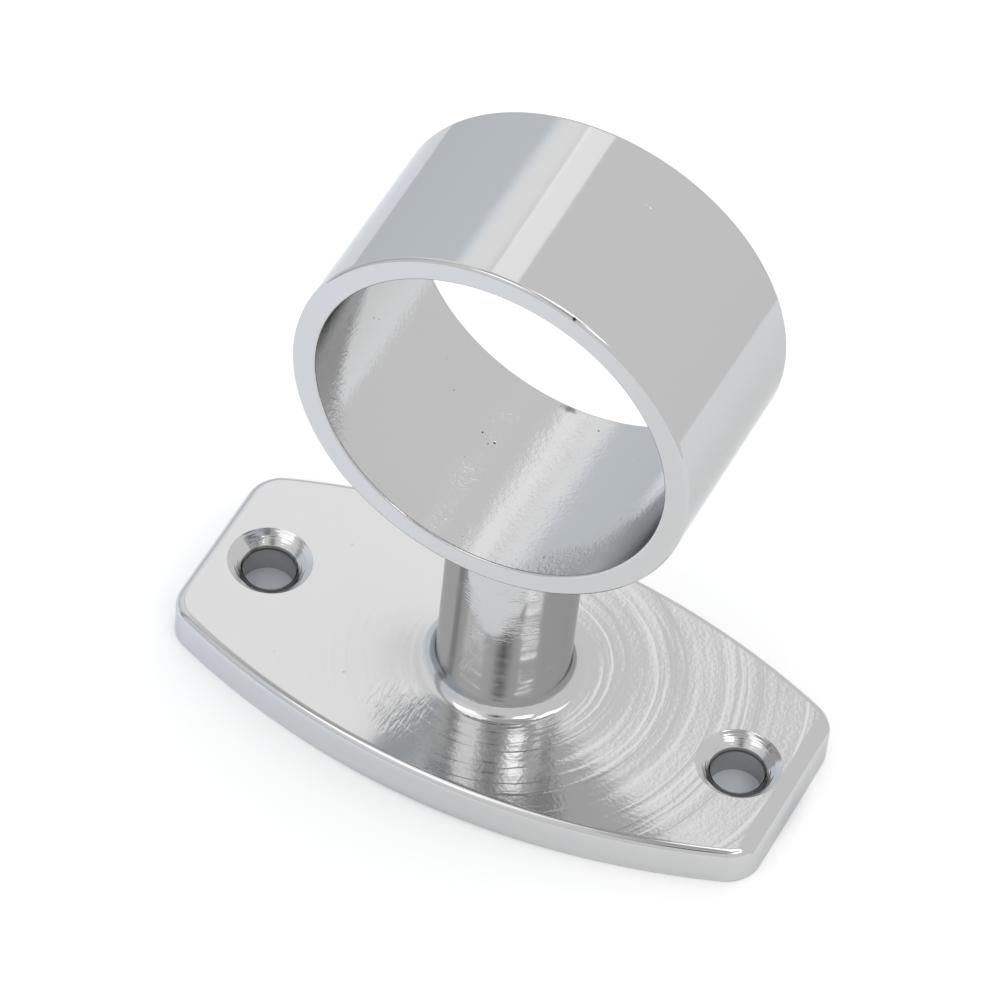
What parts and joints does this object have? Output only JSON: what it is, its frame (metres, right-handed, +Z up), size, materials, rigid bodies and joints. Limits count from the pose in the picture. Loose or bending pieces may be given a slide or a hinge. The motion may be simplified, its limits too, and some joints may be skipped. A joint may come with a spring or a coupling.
{
  "type": "handrail support",
  "caption": "One-piece cast handrail support: a plain ring for a round rail, on a short stem with a bowed, countersunk screw plate.",
  "frame": {"origin": "centre of the plate's underside, in the middle between the two screw holes", "axes": "+X along the plate from screw to screw, +Y along the rail, +Z up the stem from the wall face to the ring"},
  "size_m": [0.057, 0.03, 0.0623],
  "materials": {
    "chrome": "bright chrome plate on a zinc die casting, with turning marks on the plate's top"
  },
  "bodies": {
    "root": {"support_casting": "chrome"}
  },
  "joints": []
}
